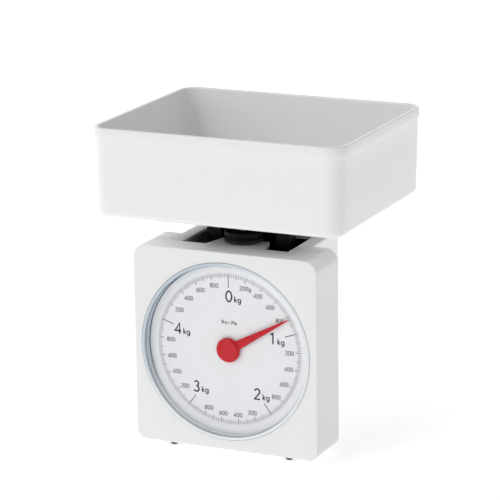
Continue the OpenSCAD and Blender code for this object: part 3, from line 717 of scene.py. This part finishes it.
def pointer():
    """A domed hub, and an arm with a low ridge that tapers to a point at the ticks."""
    dome = [(0.01, 0.22), (3.0, 0.22), (5.6, 0.2), (6.6, 0.08), (7.3, 0.0), (8.0, 0.1), (8.7, 0.42),
            (9.2, 0.9), (HUB_R, 1.6), (HUB_R, 2.4), (9.3, 2.6), (0.01, 2.6)]
    angles = [2 * math.pi * k / HUB_SIDES for k in range(HUB_SIDES)]
    hub_rings = [[(r * math.cos(a), POINTER_Y + h, r * math.sin(a)) for a in angles]
                 for r, h in dome]
    parts = [loft(hub_rings)]
    rings = []
    for k in range(ARM_STEPS + 1):
        t = k / ARM_STEPS
        z = ARM_START + (POINTER_LEN - ARM_START) * t
        half = ARM_HALF * (1 - t) ** ARM_TAPER + ARM_TIP_HALF
        back, shoulder, ridge = POINTER_Y + 2.6, POINTER_Y + 1.7, POINTER_Y + 1.25 + 0.3 * t
        slope, slope_y = half * 0.72, ridge + 0.06
        rings.append([(-half, back, z), (half, back, z), (half, shoulder, z), (slope, slope_y, z),
                      (0, ridge, z), (-slope, slope_y, z), (-half, shoulder, z)])
    parts.append(loft(rings))
    turn = Matrix.Rotation(REST_ANGLE, 3, "Y")
    verts, faces = merge(parts)
    verts = [tuple(turn @ Vector(p) + Vector((0, 0, MID_Z))) for p in verts]
    return new_object("pointer_arm", verts, faces, body="pointer_set", slot="pointer_red",
                      replaces=["pointer"], angle=28)


finish_as(pointer(), "pointer_red")

# ---------------------------------------------------------------- zero knob

KNOB_Y, KNOB_Z, KNOB_R, KNOB_H, KNOB_BORE = -31.0, 159.2, 15.0, 8.0, 2.55
KNOB_RIBS, RIB_DEPTH, RIB_STEPS = 60, 0.42, 8


def ribbed_ring(z, radius, depth):
    """One ring of a ribbed wall: rounded ribs with narrow grooves between them."""
    ring = []
    for k in range(KNOB_RIBS * RIB_STEPS):
        a = 2 * math.pi * k / (KNOB_RIBS * RIB_STEPS)
        groove = max(0.0, math.cos(2 * math.pi * (k % RIB_STEPS) / RIB_STEPS)) ** 2
        r = radius - depth * groove
        ring.append((r * math.cos(a), KNOB_Y + r * math.sin(a), z))
    return ring


def knob():
    """Two ribbed tiers with a dished top and a bore. The levels are (height, radius, rib depth)."""
    z, d = KNOB_Z, RIB_DEPTH
    levels = [(z, 13.9, 0), (z + 0.25, 14.6, d), (z + 0.7, KNOB_R, d), (z + 2.0, KNOB_R, d),
              (z + 2.45, 14.7, d), (z + 2.6, 14.0, d * 0.6), (z + 2.8, 14.0, d), (z + 6.9, 14.2, d),
              (z + 7.5, 13.9, d * 0.7), (z + 7.85, 13.3, 0.1), (z + KNOB_H, 12.5, 0),
              (z + KNOB_H, 11.0, 0), (z + 7.3, 10.4, 0), (z + 7.2, 4.2, 0), (z + 7.7, 3.6, 0),
              (z + 7.7, 2.6, 0), (z + 7.2, KNOB_BORE, 0), (z, KNOB_BORE, 0)]
    rings = [ribbed_ring(*level) for level in levels]
    return new_object("knob_grip", *loft(rings, closed=True), body="zero_knob", slot="knob_black",
                      replaces=["zero_knob"], angle=40)


finish_as(knob(), "knob_black")

# ---------------------------------------------------------------- carrier and platform

LEG_IN, LEG_OUT, LEG_FRONT, LEG_BACK, WEB_BACK = 22.5, 34.5, -22.0, -15.0, -11.0
LEG_Z, WEB_Z, PLATE_Z, FLANGE_T, FLANGE_BACK = 44.0, 150.0, 179.5, 3.0, 15.0
GUSSET_X, GUSSET_T, GUSSET_H, GUSSET_NOSE, SINK = 31, 3, 17, 3.5, 0.5
PLATE_W, PLATE_D, PLATE_R, PLATE_T = 110, 90, 6, 3.0


def carrier():
    """Two uprights, a web and a flange, with two gussets behind the web. Each part sinks into the
    next one by SINK before they are joined."""
    body, other = [block("leg", (low_x, LEG_FRONT, LEG_Z), (high_x, LEG_BACK, PLATE_Z))
                   for low_x, high_x in ((-LEG_OUT, -LEG_IN), (LEG_IN, LEG_OUT))]
    boolean(body, other, "UNION")
    boolean(body, block("web", (-LEG_OUT, LEG_BACK - SINK, WEB_Z), (LEG_OUT, WEB_BACK, PLATE_Z)),
            "UNION")
    boolean(body, block("flange", (-LEG_OUT, LEG_BACK - SINK, PLATE_Z - FLANGE_T),
                        (LEG_OUT, FLANGE_BACK, PLATE_Z)), "UNION")
    front, back, top = WEB_BACK - SINK, FLANGE_BACK - 2, PLATE_Z - 1
    for side in (-1, 1):
        ends = (side * GUSSET_X - GUSSET_T / 2, side * GUSSET_X + GUSSET_T / 2)
        profile = [(front, PLATE_Z - GUSSET_H), (front, top), (back, top),
                   (back, PLATE_Z - GUSSET_NOSE)]
        gusset = new_object("gusset", *loft([[(x, y, z) for y, z in profile] for x in ends]))
        boolean(body, gusset, "UNION")
    bevel(body, 0.9, 4, 50)
    body.name = "carrier_frame"
    place(body, "load_carrier", ["carrier"])
    return body


finish_as(carrier(), "black_plastic")
plate = prism("platform_plate", round_rect(PLATE_W, PLATE_D, PLATE_R, 10), PLATE_Z,
              PLATE_Z + PLATE_T, top=0.5, bottom=0.9, body="load_carrier", slot="black_plastic",
              replaces=["platform"])
finish_as(plate, "black_plastic")

# ---------------------------------------------------------------- main spring

SPRING_R, SPRING_Z, SPRING_H, SPRING_TURNS, WIRE_R, LOOP_R = 7.0, 63.5, 56.0, 21, 1.1, 6.0
TURN_STEPS, WIRE_SIDES, WIRE_DRAWN = 28, 10, 0.98


def spring():
    """A wire swept along a loop, the turns and another loop."""
    def loop(z, first, last):
        return [(LOOP_R * math.cos(math.radians(a)), KNOB_Y, z + LOOP_R * math.sin(math.radians(a)))
                for a in range(first, last, 10)]

    path = loop(SPRING_Z - LOOP_R, -200, 81)
    for i in range(1, SPRING_TURNS * TURN_STEPS):
        t = 2 * math.pi * i / TURN_STEPS - math.pi / 2
        path.append((SPRING_R * math.cos(t), KNOB_Y + SPRING_R + SPRING_R * math.sin(t),
                     SPRING_Z + SPRING_H * i / (SPRING_TURNS * TURN_STEPS)))
    path += loop(SPRING_Z + SPRING_H + LOOP_R, -80, 201)
    rings, side = [], Vector((0, 1, 0))
    around = [math.tau * k / WIRE_SIDES for k in range(WIRE_SIDES)]
    for i, p in enumerate(path):
        ahead = Vector(path[min(i + 1, len(path) - 1)]) - Vector(path[max(i - 1, 0)])
        ahead.normalize()
        side = (side - ahead * side.dot(ahead)).normalized()
        other = ahead.cross(side)
        rings.append([tuple(Vector(p) + WIRE_R * WIRE_DRAWN * (side * math.cos(a)
                                                               + other * math.sin(a)))
                      for a in around])
    obj = finish_as(new_object("spring_coil", *loft(rings), angle=60), "spring_steel")
    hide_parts("main_spring")
    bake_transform(obj)


spring()

# ---------------------------------------------------------------- bowl

BOWL_W, BOWL_D, BOWL_H, BOWL_Z, BOWL_WALL = 203.0, 169.0, 66.0, 182.5, 2.4
BOWL_R, FLOOR_R, TAPER, RIM_H, RIM_OUT = 14.0, 4.5, 1.5, 7.5, 0.8
SKIRT_Z, RECESS_W, RECESS_D, RECESS_R = 180.4, 112.0, 92.0, 7.0
LIP_R, LEAST_R, LOW_SIDE_Z, HIGH_SIDE_Z = 1.3, 2.5, BOWL_Z + 25, BOWL_Z + 45


def bowl():
    """A closed skin of rings: the recess below, up the outside, over the rim and down inside."""
    seg, steps = 14, (12, 10)

    def outline(w, d, r, by, z):
        pts = round_rect(w - 2 * by, d - 2 * by, max(r - by, LEAST_R), seg, steps)
        return [(x, y, z) for x, y in pts]

    def ring(by, z):
        return outline(BOWL_W, BOWL_D, BOWL_R, by, z)

    def recess(by, z):
        return outline(RECESS_W, RECESS_D, RECESS_R, by, z)

    def wall_in(z):
        return RIM_OUT + TAPER * (1 - (z - BOWL_Z) / BOWL_H)

    rings = [recess(30, BOWL_Z), recess(0.8, BOWL_Z), recess(0, BOWL_Z), recess(0, SKIRT_Z + 0.4),
             recess(-0.12, SKIRT_Z + 0.12), recess(-0.4, SKIRT_Z)]
    base = wall_in(SKIRT_Z)
    for k in range(9):
        a = math.pi / 2 * k / 8
        rings.append(ring(base + FLOOR_R * (1 - math.sin(a)), SKIRT_Z + FLOOR_R * (1 - math.cos(a))))
    rim_z = BOWL_Z + BOWL_H - RIM_H
    top_z = BOWL_Z + BOWL_H
    for z in (LOW_SIDE_Z, HIGH_SIDE_Z, rim_z - 0.35):
        rings.append(ring(wall_in(z), z))
    rings += [ring(wall_in(rim_z) - 0.1, rim_z), ring(0.25, rim_z + 0.02), ring(0.04, rim_z + 0.2),
              ring(0.0, rim_z + 0.6), ring(0.0, top_z - LIP_R)]
    for k in range(1, 5):
        a = math.pi / 2 * k / 4
        rings.append(ring(LIP_R * (1 - math.cos(a)), top_z - LIP_R * (1 - math.sin(a))))
    inner = BOWL_WALL + RIM_OUT
    for k in range(0, 5):
        a = math.pi / 2 * k / 4
        rings.append(ring(inner - LIP_R * (1 - math.sin(a)), top_z - LIP_R * (1 - math.cos(a))))
    floor_z = BOWL_Z + BOWL_WALL
    for z in (HIGH_SIDE_Z, LOW_SIDE_Z):
        rings.append(ring(wall_in(z) + BOWL_WALL, z))
    low = wall_in(floor_z) + BOWL_WALL
    r = FLOOR_R - BOWL_WALL
    for k in range(9):
        a = math.pi / 2 * k / 8
        rings.append(ring(low + r * (1 - math.cos(a)), floor_z + r * (1 - math.sin(a))))
    for by in (30, 55):
        rings.append(ring(by, floor_z))
    return new_object("bowl_tray", *loft(rings), body="bowl", slot="bowl_white", replaces=["bowl"])


finish_as(bowl(), "bowl_white")

# ---------------------------------------------------------------- floor, light

FLOOR_SIZE, FLOOR_T = 60000, 6.0
WHITE = (1, 1, 1, 1)
floor = new_object("floor", *loft([[(x, y, z) for x, y in round_rect(FLOOR_SIZE, FLOOR_SIZE, 200, 6)]
                                   for z in (-FLOOR_T, 0.0)]))
floor_material = bpy.data.materials.new("floor_pale")
floor_material.use_nodes = True
floor_shader = floor_material.node_tree.nodes["Principled BSDF"]
floor_shader.inputs["Base Color"].default_value = (0.92, 0.92, 0.92, 1)
floor_shader.inputs["Roughness"].default_value = 0.7
floor_shader.inputs["Emission Color"].default_value = WHITE
floor_shader.inputs["Emission Strength"].default_value = 0.42
floor.data.materials.append(floor_material)

world = bpy.data.worlds.new("studio")
world.use_nodes = True
world.node_tree.nodes["Background"].inputs["Color"].default_value = WHITE
world.node_tree.nodes["Background"].inputs["Strength"].default_value = 0.42
scene.world = world


def lamp(name, kind, place_m, aim_m, energy, **settings):
    """A light that shines on the scene and doesn't show in it itself."""
    data = bpy.data.lights.new(name, kind)
    data.energy = energy
    for key, value in settings.items():
        setattr(data, key, value)
    obj = bpy.data.objects.new(name, data)
    scene.collection.objects.link(obj)
    obj.visible_camera = False
    obj.location = place_m
    obj.rotation_euler = (Vector(aim_m) - Vector(place_m)).to_track_quat("-Z", "Y").to_euler()


def panel(name, place_m, aim_m, energy, width_m, height_m):
    lamp(name, "AREA", place_m, aim_m, energy, shape="RECTANGLE", size=width_m, size_y=height_m)


lamp("key_sun", "SUN", (-0.5, -1.0, 0.5), (0, 0, 0), 0.15 * math.pi, angle=math.radians(40))
panel("key_box", (-0.9, -1.8, 1.9), (0, 0, 0.15), 4.5, 0.36, 0.36)
panel("back_panel", (-0.5, 2.6, 1.0), (0, 0, 0.3), 12.0, 3.4, 1.6)
panel("left_panel", (-2.6, 0.3, 0.9), (0, 0, 0.2), 10.0, 2.4, 1.4)
panel("top_box", (-0.3, -0.1, 2.1), (0, 0, 0.2), 6.0, 1.2, 1.0)

scene.view_settings.view_transform = "Standard"
scene.view_settings.look = "None"
